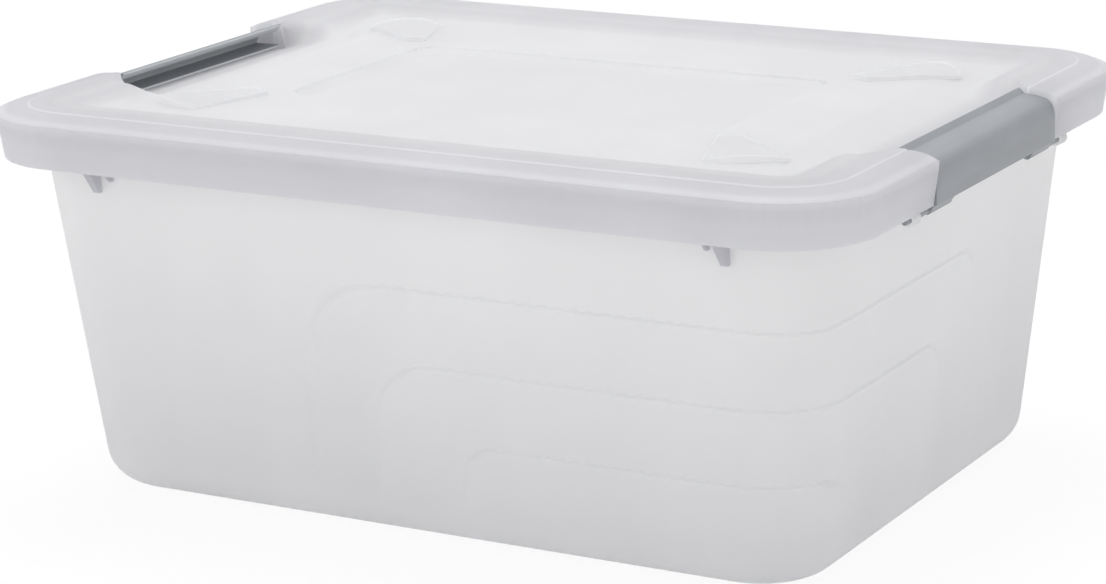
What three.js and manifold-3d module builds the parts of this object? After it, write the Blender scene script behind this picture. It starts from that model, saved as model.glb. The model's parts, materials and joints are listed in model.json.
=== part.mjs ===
// Stackable storage bin with a lift-off lid and two hinged end latches.
// Millimetres, +Z up, length along X, front towards -Y, origin under the middle of the foot.
import * as THREE from 'three';
import { ConvexGeometry } from 'three/addons/geometries/ConvexGeometry.js';
import { ParametricGeometry } from 'three/addons/geometries/ParametricGeometry.js';
import { mergeVertices } from 'three/addons/utils/BufferGeometryUtils.js';
import Module from 'manifold-3d';

const wasm = await Module();
wasm.setup();

// ---- driving dimensions -------------------------------------------------------------------
const lidLength = 410;
const lidWidth = 317.5;
const binHeight = 171.8; // foot to the crest of the lid rim
const lidCornerRadius = 42;
const skirtDepth = 22.4; // crest of the rim to the lower edge of the skirt
const skirtInset = 2.5; // the skirt leans in by this much at its lower edge
const plasticWall = 2;
const rimBandWidth = 40.3; // outer edge of the lid to the foot of the rim's inner slope
const deckDrop = 3.4; // crest of the rim to the deck
const panelLength = 208;
const panelWidth = 118;
const panelDepth = 2.8;
const panelSlope = 5.5;
const panelCornerRadius = 12;

const wallLeanX = 11.1; // how far the end walls lean out from the foot up to the flange
const wallLeanY = 13.2;
const baseCornerRadius = 34;
const bottomFillet = 14;
const footRingWidth = 8;
const footRingHeight = 4.5;
const flangeReach = 10; // flange beyond the outer wall
const lipLean = 3; // the flange's turned-down lip leans out by this much

const latchLength = 126.8;
const latchWall = 2.2;
const latchSetIn = 1.3; // outer face of the latch, in from the lid's outer edge
const latchLift = 0.2; // lower edge of the latch above the lower edge of the skirt
const hookDepth = 11.8; // crest of the rim to the underside of the clamping flange
const hookReach = 15.2; // clamping flange, in from the latch's outer face
const hookThickness = 1.2;
const fingerLipReach = 17.1;
const pinRadius = 1.5;
const pinReach = 21.6; // bare pin beyond each end of the latch
const pinSetIn = 5.8; // hinge axis, in from the lid's outer edge
const barrelRadius = 2;
const armLength = 21.4;
const clipWidth = 7;
const clipStart = 11.6; // from the end of the latch to the clip
const clipWall = 2.9; // under the pin
const clipNeck = 1.3; // inner side of the clip's mouth, in from the hinge axis
const clipReach = 3.2; // outer side of the clip, beyond the hinge axis

const scoopLength = 44; // finger scoop, from the latch inwards
const scoopWidth = 204;
const scoopDepth = 3.2;
const scoopTaper = 14; // the scoop is narrower by this much, on each side, at its inner edge
const bossHeight = 3.2;
const bossInnerStep = 1; // height of a boss at its edge towards the middle of the lid
const bossEdge = 0.6; // height of the rounded edge of a boss
const ribWall = 1.5;
const ribSetIn = 6; // rib that rests on the flange, in from the flange's outer edge
const plugDepth = 4; // plug rib below the top of the flange
const gussetThickness = 3.6;
const gussetPlace = 148; // from the middle of the long side
const gussetHeight = 20;

// ---- clearances ---------------------------------------------------------------------------
const restGap = 0.3; // between faces that touch
const hookGap = 0.45; // under the clamping flange, so that it swings off freely
const seatGap = 0.45; // between the lid's latch seat and the body's flange
const skirtGap = 2.2; // between the flange's lip and the lid's skirt
const endGap = 0.35; // at each end of a latch
const plugGap = 0.6;
const pinGap = 0.3;
const pinSkirtGap = 0.4; // between a pin and the lower edge of the lid's skirt
const barrelGap = 0.8; // above the barrels, so that the latches turn freely
const liftGap = 1.2; // the lid's seat ends this far inside the hinge axis, so that it lifts past the hook

const cornerSteps = 6;
const far = 60; // how far a cutting body runs past what it cuts

// ---- derived levels -----------------------------------------------------------------------
const below = (drop) => binHeight - drop;
const skirtFoot = below(skirtDepth);
const deckLevel = below(deckDrop);
const latchFace = lidLength / 2 - latchSetIn;
const latchInside = latchFace - latchWall;
const latchFoot = skirtFoot + latchLift;
const hookTip = latchFace - hookReach;
const hingeX = lidLength / 2 - pinSetIn;
const hingeZ = skirtFoot - pinSkirtGap - pinRadius;
const seatLevel = below(hookDepth + hookGap);
const seatEdge = hingeX - liftGap;
const flangeTop = seatLevel - plasticWall - seatGap;
const lipFoot = hingeZ + barrelRadius + barrelGap; // of the flange's lip, and of the latch seat's own skirt
const notchHalf = latchLength / 2 + endGap;
const roomInner = hookTip - 2; // foot of the slope that runs down to the latch
const roomStart = roomInner - scoopLength;

// The lid's outer edge to the top of the body's wall, which is parallel to it.
const wallInset = skirtInset + plasticWall + skirtGap + lipLean + flangeReach;

// ---- solids -------------------------------------------------------------------------------
// Merges a geometry's shared vertices, drops the collapsed triangles and makes a solid of it.
function solid(geometry) {
  const bare = geometry.clone();
  bare.deleteAttribute('normal');
  bare.deleteAttribute('uv');
  const merged = mergeVertices(bare, 1e-5);
  const source = merged.index.array;
  const kept = [];
  for (let i = 0; i < source.length; i += 3) {
    const [a, b, c] = [source[i], source[i + 1], source[i + 2]];
    if (a !== b && b !== c && c !== a) kept.push(a, b, c);
  }
  const body = new wasm.Manifold(new wasm.Mesh({
    numProp: 3,
    vertProperties: Float32Array.from(merged.attributes.position.array),
    triVerts: Uint32Array.from(kept),
  }));
  return body;
}

// One mesh node made from a solid.
function node(name, body, material) {
  const mesh = body.getMesh();
  const geometry = new THREE.BufferGeometry();
  geometry.setAttribute('position', new THREE.BufferAttribute(Float32Array.from(mesh.vertProperties), 3));
  geometry.setIndex(new THREE.BufferAttribute(Uint32Array.from(mesh.triVerts), 1));
  geometry.computeVertexNormals();
  const result = new THREE.Mesh(geometry, material);
  result.name = name;
  return result;
}

// A point on a rounded rectangle: column counts round it from the middle of the right-hand side.
function outlinePoint(level, column) {
  const quarter = Math.floor(column / (cornerSteps + 1)) % 4;
  const step = column % (cornerSteps + 1);
  const angle = (quarter + step / cornerSteps) * Math.PI / 2;
  const signX = quarter === 0 || quarter === 3 ? 1 : -1;
  const signY = quarter < 2 ? 1 : -1;
  return [
    signX * (level.x - level.r) + level.r * Math.cos(angle),
    signY * (level.y - level.r) + level.r * Math.sin(angle),
  ];
}

// A body whose level curves are rounded rectangles. The levels run from a pole on the Z axis,
// over the surface and back to a pole, and each has half sizes x and y, corner radius r and height z.
function ringBody(levels) {
  const columns = 4 * (cornerSteps + 1);
  const rows = levels.length - 1;
  const place = (u, v, target) => {
    const level = levels[Math.round(v * rows)];
    const [x, y] = outlinePoint(level, Math.round(u * columns) % columns);
    target.set(x, y, level.z);
  };
  return solid(new ParametricGeometry(place, columns, rows));
}

const pole = (z) => ({ x: 0, y: 0, r: 0, z });

// An outline in X and Z carried along Y from y0 to y1.
function prism(points, y0, y1) {
  const shape = new THREE.Shape(points.map(([x, z]) => new THREE.Vector2(x, z)));
  const geometry = new THREE.ExtrudeGeometry(shape, { depth: y1 - y0, bevelEnabled: false });
  geometry.rotateX(Math.PI / 2);
  geometry.translate(0, y1, 0);
  return solid(geometry);
}

// A round bar along Y.
function bar(radius, x, z, y0, y1) {
  const geometry = new THREE.CylinderGeometry(radius, radius, y1 - y0, 20);
  geometry.translate(x, (y0 + y1) / 2, z);
  return solid(geometry);
}

const hull = (points) => solid(new ConvexGeometry(points.map((p) => new THREE.Vector3(...p))));
const turned = (body) => body.rotate([0, 0, 180]);
const atBothEnds = (body) => body.add(turned(body));
const mirroredY = (body) => body.mirror([0, 1, 0]);

// ---- body of the bin ----------------------------------------------------------------------
// Half sizes of the outer wall at height z, moved outwards by grow.
function wallLevel(z, grow) {
  const fall = 1 - z / flangeTop;
  const topRadius = lidCornerRadius - wallInset;
  return {
    x: lidLength / 2 - wallInset - wallLeanX * fall + grow,
    y: lidWidth / 2 - wallInset - wallLeanY * fall + grow,
    r: topRadius + (baseCornerRadius - topRadius) * fall + grow,
    z,
  };
}

// The rounded bottom edge, from the flat foot up to the wall, or back down for the inside.
function filletLevels(radius, floor, grow) {
  const steps = 4;
  return Array.from({ length: steps + 1 }, (_, i) => {
    const angle = (i / steps) * Math.PI / 2;
    const z = floor + radius * (1 - Math.cos(angle));
    return { ...wallLevel(z, grow - radius * (1 - Math.sin(angle))), z };
  });
}

function binBody() {
  const foot = wallLevel(0, -bottomFillet);
  const ringInside = wallLevel(0, -bottomFillet - footRingWidth);
  const floor = footRingHeight + plasticWall;
  const lipEdge = (grow) => ({ ...wallLevel(flangeTop, flangeReach + lipLean + grow), z: lipFoot });
  const shell = ringBody([
    pole(footRingHeight),
    { ...ringInside, z: footRingHeight },
    { ...ringInside, z: 0 },
    foot,
    ...filletLevels(bottomFillet, 0, 0).slice(1),
    wallLevel(flangeTop - plasticWall, 0),
    { ...wallLevel(flangeTop, flangeReach - plasticWall), z: flangeTop - plasticWall },
    lipEdge(-plasticWall),
    lipEdge(0),
    wallLevel(flangeTop, flangeReach),
    wallLevel(flangeTop, -plasticWall),
    ...filletLevels(bottomFillet - plasticWall, floor, -plasticWall).reverse(),
    pole(floor),
  ]);
  return shell.add(hingeClips()).add(gussets());
}

// Open clips under the flange at both ends, which the latch pins snap into from above.
function hingeClips() {
  const flangeOut = wallLevel(flangeTop, flangeReach).x;
  const inner = flangeOut - flangeReach / 2;
  const root = flangeTop - plasticWall / 2;
  const mouth = skirtFoot - pinSkirtGap;
  const bore = pinRadius + pinGap;
  const floor = hingeZ - bore - clipWall;
  const outline = [
    [inner, root],
    [flangeOut - plasticWall / 2, root],
    [hingeX - clipNeck, lipFoot],
    [hingeX - clipNeck, mouth],
    [hingeX + clipReach, mouth],
    [hingeX + clipReach, hingeZ - bore],
    [hingeX + clipNeck, floor],
    [hingeX - bore, floor],
    [inner, hingeZ + 2 * barrelRadius],
  ];
  const start = latchLength / 2 + clipStart;
  const clip = prism(outline, start, start + clipWidth)
    .subtract(bar(bore, hingeX, hingeZ, start - 1, start + clipWidth + 1));
  return atBothEnds(clip.add(mirroredY(clip)));
}

// Triangular plates under the flange on the long sides, near the corners.
function gussets() {
  const sink = plasticWall / 2;
  const foot = flangeTop - gussetHeight;
  const wallTop = wallLevel(flangeTop, -sink).y;
  const wallLow = wallLevel(foot, -sink).y;
  const reach = wallLevel(flangeTop, flangeReach - restGap).y;
  const points = [];
  for (const x of [gussetPlace - gussetThickness / 2, gussetPlace + gussetThickness / 2]) {
    points.push([x, wallTop, flangeTop - sink]);
    points.push([x, reach, flangeTop - sink]);
    points.push([x, reach, lipFoot]);
    points.push([x, wallLow, foot]);
    points.push([x, wallLow + 2 * sink, foot]);
  }
  const one = hull(points);
  const pair = one.add(one.mirror([1, 0, 0]));
  return pair.add(mirroredY(pair));
}

// ---- lid ----------------------------------------------------------------------------------
// A level of the lid: inset from the outer edge and drop below the crest of the rim.
function lidLevel(inset, drop) {
  const r = Math.max(lidCornerRadius - inset, 4);
  return { x: lidLength / 2 - inset, y: lidWidth / 2 - inset, r, z: below(drop) };
}

// Top of the lid from the outer edge to the deck, as inset and drop.
const rimSideDrop = 5.2; // crest of the rim to the top of the upright skirt
const rimBand = [
  [0, rimSideDrop], [0.9, 3.6], [3, 2.4], [7, 1.4], [13, 0.4], [18, 0],
  [rimBandWidth - 11.5, 0], [rimBandWidth - 6, 0.6], [rimBandWidth - 2.8, 2], [rimBandWidth, deckDrop],
];

function lidOuter() {
  return ringBody([
    pole(skirtFoot),
    lidLevel(skirtInset, skirtDepth),
    ...rimBand.map(([inset, drop]) => lidLevel(inset, drop)),
    pole(deckLevel),
  ]);
}

function lidCavity() {
  const shift = plasticWall * 0.4; // keeps the wall even where the rim's outer shoulder slopes
  const under = rimBand.slice(2).map(([inset, drop]) => lidLevel(inset + shift, drop + plasticWall));
  return ringBody([
    pole(skirtFoot - far),
    lidLevel(skirtInset + plasticWall, skirtDepth + far),
    lidLevel(skirtInset + plasticWall, skirtDepth),
    lidLevel(plasticWall, rimSideDrop + plasticWall * 0.65),
    ...under,
    pole(deckLevel - plasticWall),
  ]);
}

// Room for a latch: everything outside the seat that the latch closes over, and the slope down
// to it from the deck. grow moves its faces towards the lid's plastic.
function latchRoom(grow) {
  const skirtX = latchInside - endGap - grow;
  const seat = seatLevel - grow;
  return prism([
    [roomStart, binHeight + far],
    [roomStart, deckLevel - grow],
    [roomInner, seat],
    [seatEdge - grow * 0.7, seat],
    [skirtX, lipFoot],
    [skirtX, skirtFoot - far],
    [latchFace + far, skirtFoot - far],
    [latchFace + far, binHeight + far],
  ], -notchHalf - grow, notchHalf + grow);
}

// Room under the seat's own skirt for the latch's arms and barrel.
function barrelRoom() {
  const [x0, x1] = [hingeX - 2 * barrelRadius, latchFace + 1];
  const outline = [[x0, skirtFoot - 1], [x1, skirtFoot - 1], [x1, lipFoot], [x0, lipFoot]];
  return prism(outline, -notchHalf, notchHalf);
}

// The shallow finger scoop that runs past both ends of the latch, inside the rim.
function scoop(grow) {
  const outer = lidLength / 2 - rimBandWidth + 1;
  const wide = scoopWidth / 2 + grow;
  const narrow = wide - scoopTaper;
  const points = [];
  for (const side of [-1, 1]) {
    for (const z of [deckLevel - grow + 0.01, deckLevel + 1]) {
      points.push([roomStart - grow, side * narrow, z]);
      points.push([roomStart + scoopTaper / 2, side * wide, z]);
      points.push([outer + grow, side * wide, z]);
    }
    points.push([outer - scoopTaper / 3, side * (notchHalf + scoopTaper), deckLevel - scoopDepth - grow]);
  }
  return hull(points);
}

// The recessed panel in the middle of the deck.
function panel(grow) {
  const level = (inset, z) => ({
    x: panelLength / 2 - inset + grow,
    y: panelWidth / 2 - inset + grow,
    r: panelCornerRadius - inset * 0.5 + grow,
    z,
  });
  return ringBody([
    pole(deckLevel - panelDepth - grow),
    level(panelSlope, deckLevel - panelDepth - grow),
    level(0, deckLevel - (grow > 0 ? grow : 0)),
    level(0, deckLevel + 1),
    pole(deckLevel + 1),
  ]);
}

// A stacking boss in one corner of the deck: a wedge that rises towards the corner of the lid.
function boss() {
  const foot = wallLevel(0, -bottomFillet - footRingWidth - 5 * restGap);
  const low = bossInnerStep;
  const high = bossHeight;
  const outline = [ // in from the foot ring of the bin above, and height above the deck
    [38, 42, low], [30, 45, low], [3, 19, low + bossEdge], [4, 15, high - bossEdge],
    [13, 6.5, high], [24, 1.5, high - bossEdge], [28, 1, low + bossEdge],
  ];
  const middle = { inX: 20, inY: 19 };
  const points = [];
  for (const [inX, inY, height] of outline) {
    const flare = height > low + bossEdge ? 1.15 : 1.03;
    points.push([foot.x - inX, foot.y - inY, deckLevel + height]);
    points.push([
      foot.x - middle.inX - (inX - middle.inX) * flare,
      foot.y - middle.inY - (inY - middle.inY) * flare,
      deckLevel - plasticWall / 2,
    ]);
  }
  const one = hull(points);
  const pair = one.add(one.mirror([1, 0, 0]));
  return pair.add(mirroredY(pair));
}

// A rib that runs round under the lid: outside given as a level, from the rim down to foot.
function ribRing(outside, foot) {
  const high = below(plasticWall / 2);
  const inside = { x: outside.x - ribWall, y: outside.y - ribWall, r: outside.r - ribWall };
  const outer = ringBody([pole(foot), { ...outside, z: foot }, { ...outside, z: high }, pole(high)]);
  const inner = ringBody([
    pole(foot - 1), { ...inside, z: foot - 1 }, { ...inside, z: high + 1 }, pole(high + 1),
  ]);
  return outer.subtract(inner);
}

function lid() {
  const seatOutside = wallLevel(flangeTop, flangeReach - ribSetIn);
  const plugOutside = wallLevel(flangeTop - plugDepth, -plasticWall - plugGap);
  const rooms = (grow) => atBothEnds(latchRoom(grow).add(scoop(grow)));
  const ribs = ribRing(seatOutside, flangeTop + restGap)
    .add(ribRing(plugOutside, flangeTop - plugDepth))
    .subtract(rooms(plasticWall / 2));
  const recesses = rooms(0).add(atBothEnds(barrelRoom())).add(panel(0));
  const outer = lidOuter().subtract(recesses).add(boss());
  const cavity = lidCavity().subtract(rooms(plasticWall)).subtract(panel(plasticWall));
  return outer.subtract(cavity).add(ribs);
}

// ---- latch --------------------------------------------------------------------------------
// Skin of a latch, over its shoulder to the tip of the finger lip and back under it, as the
// distance in from the outer face and the drop below the crest of the rim.
const latchTop = [
  [0.3, 13.5], [1.2, 8], [3.2, 5.8], [7.7, 3.8], [13.7, 3], [fingerLipReach - 0.4, 0.9],
  [fingerLipReach, 1.9], [12.9, 5.1], [8.3, 5.8], [4.6, 7.4], [3.3, 9],
];

// The latch of the right-hand end: a shell with a finger lip, a clamping flange that holds the
// lid's seat down, two arms and two bare pins.
function latch() {
  const half = latchLength / 2;
  const skin = ([setIn, drop]) => [latchFace - setIn, below(drop)];
  const hookTop = below(hookDepth - hookThickness);
  const section = [
    [latchFace, latchFoot],
    ...latchTop.map(skin),
    [latchInside - 0.4, hookTop],
    [hookTip, hookTop],
    [hookTip, below(hookDepth)],
    [latchInside, below(hookDepth)],
    [latchInside, latchFoot],
  ];
  const arm = [
    [latchFace, latchFoot + 1],
    [latchFace - 0.2, latchFoot - 1],
    [hingeX + 0.6, hingeZ - barrelRadius + 0.1],
    [hingeX, hingeZ],
    [latchInside, latchFoot],
    [latchInside, latchFoot + 1],
  ];
  const endArm = prism(arm, half - armLength, half)
    .add(bar(barrelRadius, hingeX, hingeZ, half - armLength, half))
    .add(bar(pinRadius, hingeX, hingeZ, half - armLength, half + pinReach));
  return prism(section, -half, half).add(endArm).add(mirroredY(endArm));
}

// ---- assembly -----------------------------------------------------------------------------
const clearPlastic = { color: '#e2e2e6', roughness: 0.42, metalness: 0 };
const greyPlastic = { color: '#959a9d', roughness: 0.38, metalness: 0 };

const bin = new THREE.Group();
bin.name = 'stackable_storage_bin';
bin.add(node('bin_body', binBody(), new THREE.MeshStandardMaterial(clearPlastic)));
bin.add(node('lid', lid(), new THREE.MeshStandardMaterial(clearPlastic)));
bin.add(node('latch_right', latch(), new THREE.MeshStandardMaterial(greyPlastic)));
bin.add(node('latch_left', turned(latch()), new THREE.MeshStandardMaterial(greyPlastic)));

export default bin;
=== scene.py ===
"""A stackable storage bin: fine surfaces, plastics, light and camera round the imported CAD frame.

Sizes in this file are millimetres and become metres when a mesh is made. +Z is up, the length of
the bin runs along X, and its front faces -Y.
"""

import json
import math

import bmesh
import bpy
import numpy as np
from mathutils import Matrix, Vector


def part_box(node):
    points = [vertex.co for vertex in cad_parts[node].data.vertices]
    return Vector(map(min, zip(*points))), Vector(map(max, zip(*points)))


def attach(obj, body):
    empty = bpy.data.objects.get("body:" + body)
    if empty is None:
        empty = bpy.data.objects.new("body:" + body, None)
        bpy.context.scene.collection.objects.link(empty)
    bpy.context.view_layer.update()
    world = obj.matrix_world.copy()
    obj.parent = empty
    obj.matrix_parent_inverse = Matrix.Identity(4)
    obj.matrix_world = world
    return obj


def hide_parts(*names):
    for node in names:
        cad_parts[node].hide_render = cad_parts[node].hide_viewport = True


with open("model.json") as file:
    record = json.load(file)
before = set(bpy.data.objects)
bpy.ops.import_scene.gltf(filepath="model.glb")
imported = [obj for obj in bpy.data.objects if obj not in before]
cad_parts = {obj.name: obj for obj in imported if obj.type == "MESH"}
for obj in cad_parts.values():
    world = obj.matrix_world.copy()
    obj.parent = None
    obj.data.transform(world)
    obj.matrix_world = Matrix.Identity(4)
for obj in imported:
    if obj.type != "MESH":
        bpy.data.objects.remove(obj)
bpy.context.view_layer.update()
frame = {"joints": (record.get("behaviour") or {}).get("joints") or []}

MM = 0.001


def node_box(name):
    """Lowest and highest corner of a CAD node, in millimetres."""
    low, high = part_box(name)
    return np.array(low) / MM, np.array(high) / MM


# ---- sizes that the frame gives ---------------------------------------------------------------
lid_low, lid_high = node_box("lid")
latch_high = node_box("latch_right")[1]
hinge = next(j for j in frame["joints"] if j["name"] == "latch_right_hinge")

LID_X, LID_Y, CREST = lid_high
SKIRT_FOOT = lid_low[2]
FLANGE_TOP = node_box("bin_body")[1][2]
LATCH_FACE = latch_high[0]
PIN_END = latch_high[1]
HINGE_X = hinge["pos_m"][0] / MM
HINGE_Z = hinge["pos_m"][2] / MM

# ---- sizes of the mouldings, as in the CAD source unless a comment says otherwise --------------
WALL = 2.0
LID_CORNER = 42.0
SKIRT_INSET = 2.5
SHOULDER_DROP = 5.2
CREASE_AT = 13.5  # crease between the rim's shoulder and flat crest, in from the outer edge, only here
CREASE_STEP = 0.4  # only here
DECK_DROP = 3.4
RIM_FOOT = 40.3
RIM_INNER_CORNER = 10.0  # least radius of the rim's contours, 4 in the CAD
PANEL = (104.0, 59.0, 12.0)  # half sizes and corner radius of the recessed panel
PANEL_DEPTH = 2.8
PANEL_STEP = 0.8  # crisp step at the panel's edge, only here
PANEL_GROOVE = 0.6  # depth of the fine groove just inside that step, only here
PANEL_SLOPE = 5.5
SCOOP_DEPTH = 3.2
END_SLOPE = 18.0  # width of the slope at a notch's ends, only here: the CAD has a wall
SCOOP_DEEPEST = (161.0, 77.75)  # ends of the scoop's deepest line
SCOOP_CUT = ((149.5, 102.0), (142.5, 88.0))  # the slanting side of the scoop's outline

LATCH_HALF = 63.4
NOTCH_HALF = 63.75
SEAT_DROP = 12.25
SEAT_EDGE = HINGE_X - 1.2
ROOM_INNER = LATCH_FACE - 17.2
ROOM_START = ROOM_INNER - 44.0
SEAT_SKIRT = LATCH_FACE - 2.55
LIP_FOOT = HINGE_Z + 2.8

FLANGE_REACH = 10.0
LIP_LEAN = 3.0
WALL_INSET = 19.7
WALL_LEAN = (11.1, 13.2)
BASE_CORNER = 34.0
BOTTOM_FILLET = 14.0
FOOT_RING = (8.0, 4.5)  # width and height


# ---- shared geometry --------------------------------------------------------------------------
def smooth(a, b, x):
    """Rises from 0 at a to 1 at b along 3t^2 - 2t^3."""
    t = np.clip((x - a) / (b - a), 0.0, 1.0)
    return t * t * (3 - 2 * t)


def lower_of(a, b, blend):
    """The smaller of two values, with the corner between them rounded over a difference of blend."""
    h = np.clip(0.5 + 0.5 * (b - a) / blend, 0.0, 1.0)
    return b + (a - b) * h - blend * h * (1 - h)


def box_distance(x, y, half_x, half_y, radius):
    """Signed distance to a rounded rectangle round the origin: the length of the part of the point
    beyond the rectangle of corner centres, less the radius, negative inside."""
    qx = np.abs(x) - half_x + radius
    qy = np.abs(y) - half_y + radius
    outside = np.hypot(np.maximum(qx, 0), np.maximum(qy, 0))
    return outside + np.minimum(np.maximum(qx, qy), 0) - radius


def spaced(*stops):
    """Places along a line: stops are (end, step) pairs after a first place, each stretch cut into
    equal steps of about that size."""
    places = [np.array([stops[0]])]
    at = stops[0]
    for end, step in stops[1:]:
        count = max(1, round(abs(end - at) / step))
        places.append(np.linspace(at, end, count + 1)[1:])
        at = end
    return np.concatenate(places)


def both_ways(half):
    """Mirrors places from 0 outwards to both sides of the middle."""
    return np.concatenate([-half[:0:-1], half])


def round_columns(xs, ys, arc_steps):
    """Columns round a rectangle with corners rounded outwards, anticlockwise from the lower end of
    the right-hand side: the point of the core rectangle under each column, and the outward
    direction, which turns through a right angle in equal steps at each corner."""
    turn = np.arange(1, arc_steps) / arc_steps * math.pi / 2
    top_x, top_y = xs[-1], ys[-1]
    sides = [
        (np.full_like(ys, top_x), ys, 0.0),
        (xs[::-1], np.full_like(xs, top_y), 0.5),
        (np.full_like(ys, -top_x), ys[::-1], 1.0),
        (xs, np.full_like(xs, -top_y), 1.5),
    ]
    core, angle = [], []
    for x, y, quarter in sides:
        core.append(np.stack([x, y], 1))
        angle.append(np.full(len(x), quarter * math.pi))
        core.append(np.tile([x[-1], y[-1]], (len(turn), 1)))
        angle.append(quarter * math.pi + turn)
    angle = np.concatenate(angle)
    return np.concatenate(core), np.stack([np.cos(angle), np.sin(angle)], 1)


def face_outwards(shape):
    """Winds every closed shell of a mesh so that its normals point out: one that encloses a
    negative volume is turned round."""
    bmesh.ops.recalc_face_normals(shape, faces=shape.faces)
    shape.normal_update()
    left = set(shape.faces)
    while left:
        shell = [left.pop()]
        for face in shell:
            near = {other for edge in face.edges for other in edge.link_faces} & left
            left -= near
            shell.extend(near)
        volume = sum(face.normal.dot(face.calc_center_median()) * face.calc_area() for face in shell)
        if volume < 0:
            bmesh.ops.reverse_faces(shape, faces=shell)


def make_piece(name, grids, body, material, replaces=None, crease=40.0):
    """One mesh from grids of points, rows x columns x 3 in millimetres, each with whether its rows
    close on themselves. Every cell is a quad, meeting points are welded, open ends get a face, and
    normals point out of the closed shells."""
    points, quads, start = [], [], 0
    for grid, wraps in grids:
        rows, columns = grid.shape[:2]
        index = start + np.arange(rows * columns).reshape(rows, columns)
        after = np.roll(index, -1, 1) if wraps else index[:, 1:]
        index = index if wraps else index[:, :-1]
        quad = np.stack([index[:-1], index[1:], after[1:], after[:-1]], -1)
        points.append(grid.reshape(-1, 3))
        quads.append(quad.reshape(-1, 4))
        start += rows * columns
    mesh = bpy.data.meshes.new(name)
    mesh.from_pydata((np.concatenate(points) * MM).tolist(), [], np.concatenate(quads).tolist())
    shape = bmesh.new()
    shape.from_mesh(mesh)
    bmesh.ops.remove_doubles(shape, verts=shape.verts, dist=0.002 * MM)
    bmesh.ops.dissolve_degenerate(shape, edges=shape.edges, dist=0.0005 * MM)
    bmesh.ops.holes_fill(shape, edges=[e for e in shape.edges if e.is_boundary], sides=0)
    face_outwards(shape)
    shape.to_mesh(mesh)
    shape.free()
    mesh.shade_smooth()
    mesh.set_sharp_from_angle(angle=math.radians(crease))
    mesh.materials.append(material)
    piece = bpy.data.objects.new(name, mesh)
    bpy.context.scene.collection.objects.link(piece)
    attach(piece, body)
    if replaces:
        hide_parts(replaces)


# ---- materials --------------------------------------------------------------------------------
def colour(hex_code):
    """An sRGB hex code as linear RGBA."""
    values = [int(hex_code[i : i + 2], 16) / 255 for i in (0, 2, 4)]
    return [v / 12.92 if v <= 0.04045 else ((v + 0.055) / 1.055) ** 2.4 for v in values] + [1.0]


def add(tree, kind, inputs=None, **settings):
    """Adds a node with its settings. inputs maps a socket's name or number to a value, or to the
    output socket that feeds it."""
    made = tree.nodes.new(kind)
    for key, value in settings.items():
        setattr(made, key, value)
    for key, value in (inputs or {}).items():
        if isinstance(value, bpy.types.NodeSocket):
            tree.links.new(value, made.inputs[key])
        else:
            made.inputs[key].default_value = value
    return made


def per_mm(size):
    """The texture scale, in cycles per metre, of a pattern whose features are size millimetres."""
    return 1.0 / (size * MM)


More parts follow.
